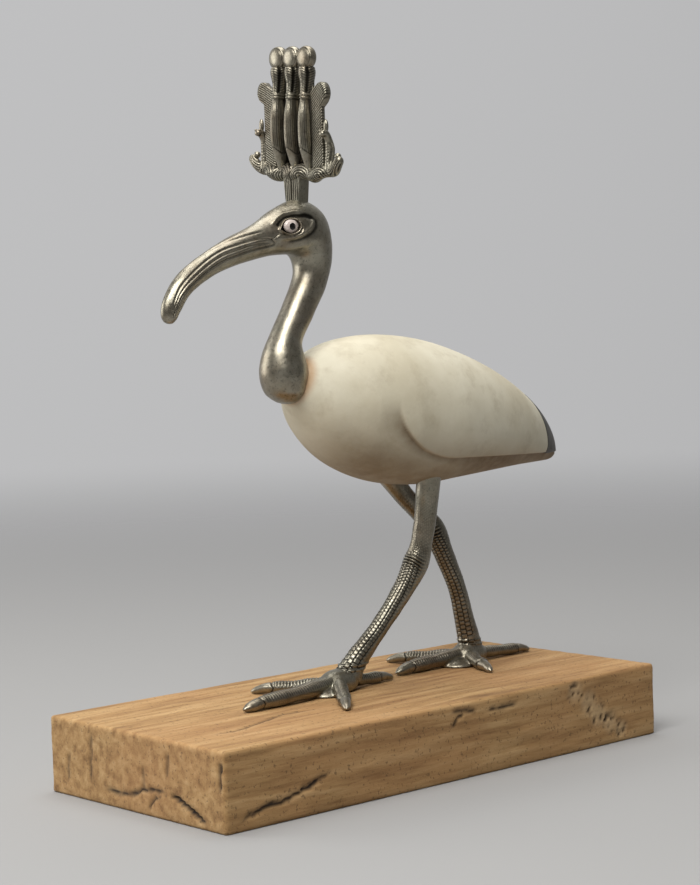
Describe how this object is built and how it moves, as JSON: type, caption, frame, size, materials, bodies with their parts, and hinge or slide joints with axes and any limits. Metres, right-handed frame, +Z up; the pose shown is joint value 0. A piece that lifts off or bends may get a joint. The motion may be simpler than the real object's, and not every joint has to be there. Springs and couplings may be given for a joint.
{
  "type": "egyptian ibis statue",
  "caption": "Striding ibis figure with a gessoed wooden body, cast metal head, neck, crown, legs and tail tip, on a plain worn wooden plinth.",
  "frame": {"origin": "middle of the plinth's flat underside", "axes": "+Z up, -Y the way the bird faces, +X the bird's left"},
  "size_m": [0.179, 0.396, 0.4765],
  "materials": {
    "plinth_wood": "old dry wood with open grain, splits and insect holes",
    "gesso": "ivory gesso over wood, matt, stained tan and orange beside the neck",
    "dark_metal": "dark patina, satin",
    "tarnished_metal": "grey olive tarnish, finely pitted, worn bright on high places",
    "eye_inlay": "polished light inlay with a black pupil"
  },
  "bodies": {
    "root": {"plinth": "plinth_wood", "body": "gesso", "tail_cap": "dark_metal", "head_and_neck": "tarnished_metal", "crown": "tarnished_metal", "left_leg": "tarnished_metal", "right_leg": "tarnished_metal", "left_eye": "eye_inlay", "right_eye": "eye_inlay"}
  },
  "joints": []
}
